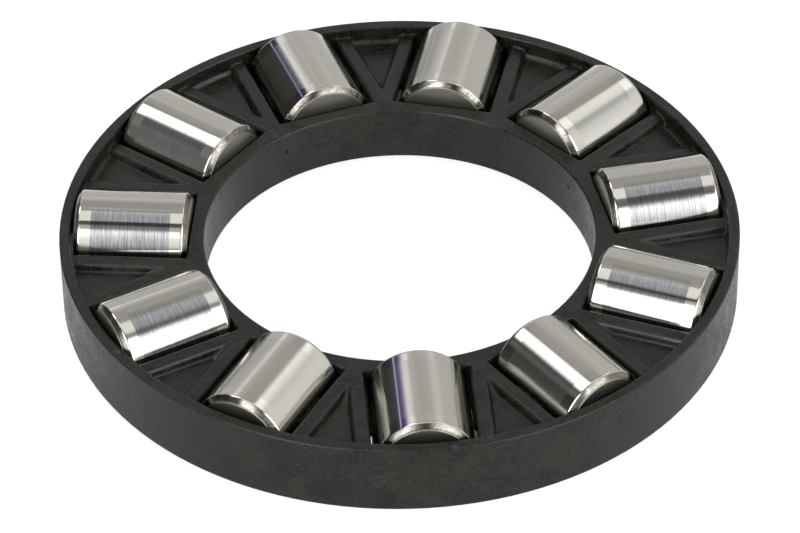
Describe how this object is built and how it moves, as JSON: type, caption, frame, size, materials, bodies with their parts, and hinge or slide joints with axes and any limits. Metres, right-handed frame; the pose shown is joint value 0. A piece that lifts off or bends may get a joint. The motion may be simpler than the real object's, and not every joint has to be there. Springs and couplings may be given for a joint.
{
  "type": "axial cylindrical roller and cage assembly",
  "caption": "Axial roller and cage assembly: a black moulded ring cage holding ground steel rollers on radial axes, to run between two flat races.",
  "frame": {"origin": "on the bearing's axis, at the height of the roller axes, midway between the two planes that the races touch", "axes": "+Z along the bearing's axis, out of the face shown in the picture; +X along the axis of roller_01, away from the bore; the rollers are numbered anticlockwise seen from +Z"},
  "size_m": [0.052, 0.052, 0.0075],
  "materials": {
    "cage_plastic": "satin moulded, dark grey to black",
    "roller_steel": "ground and polished"
  },
  "bodies": {
    "cage": {"cage": "cage_plastic"},
    "roller_01": {"roller_01": "roller_steel"},
    "roller_02": {"roller_02": "roller_steel"},
    "roller_03": {"roller_03": "roller_steel"},
    "roller_04": {"roller_04": "roller_steel"},
    "roller_05": {"roller_05": "roller_steel"},
    "roller_06": {"roller_06": "roller_steel"},
    "roller_07": {"roller_07": "roller_steel"},
    "roller_08": {"roller_08": "roller_steel"},
    "roller_09": {"roller_09": "roller_steel"},
    "roller_10": {"roller_10": "roller_steel"},
    "roller_11": {"roller_11": "roller_steel"}
  },
  "joints": [
    {"name": "roller_01_spin", "type": "hinge", "parent": "cage", "child": "roller_01", "pos_m": [0.02045, 0, 0], "axis": [1, 0, 0], "continuous": true},
    {"name": "roller_02_spin", "type": "hinge", "parent": "cage", "child": "roller_02", "pos_m": [0.0172, 0.01106, 0], "axis": [0.8413, 0.5406, 0], "continuous": true},
    {"name": "roller_03_spin", "type": "hinge", "parent": "cage", "child": "roller_03", "pos_m": [0.0085, 0.0186, 0], "axis": [0.4154, 0.9096, 0], "continuous": true},
    {"name": "roller_04_spin", "type": "hinge", "parent": "cage", "child": "roller_04", "pos_m": [-0.00291, 0.02024, 0], "axis": [-0.1423, 0.9898, 0], "continuous": true},
    {"name": "roller_05_spin", "type": "hinge", "parent": "cage", "child": "roller_05", "pos_m": [-0.01339, 0.01546, 0], "axis": [-0.6549, 0.7557, 0], "continuous": true},
    {"name": "roller_06_spin", "type": "hinge", "parent": "cage", "child": "roller_06", "pos_m": [-0.01962, 0.00576, 0], "axis": [-0.9595, 0.2817, 0], "continuous": true},
    {"name": "roller_07_spin", "type": "hinge", "parent": "cage", "child": "roller_07", "pos_m": [-0.01962, -0.00576, 0], "axis": [-0.9595, -0.2817, 0], "continuous": true},
    {"name": "roller_08_spin", "type": "hinge", "parent": "cage", "child": "roller_08", "pos_m": [-0.01339, -0.01546, 0], "axis": [-0.6549, -0.7557, 0], "continuous": true},
    {"name": "roller_09_spin", "type": "hinge", "parent": "cage", "child": "roller_09", "pos_m": [-0.00291, -0.02024, 0], "axis": [-0.1423, -0.9898, 0], "continuous": true},
    {"name": "roller_10_spin", "type": "hinge", "parent": "cage", "child": "roller_10", "pos_m": [0.0085, -0.0186, 0], "axis": [0.4154, -0.9096, 0], "continuous": true},
    {"name": "roller_11_spin", "type": "hinge", "parent": "cage", "child": "roller_11", "pos_m": [0.0172, -0.01106, 0], "axis": [0.8413, -0.5406, 0], "continuous": true}
  ]
}
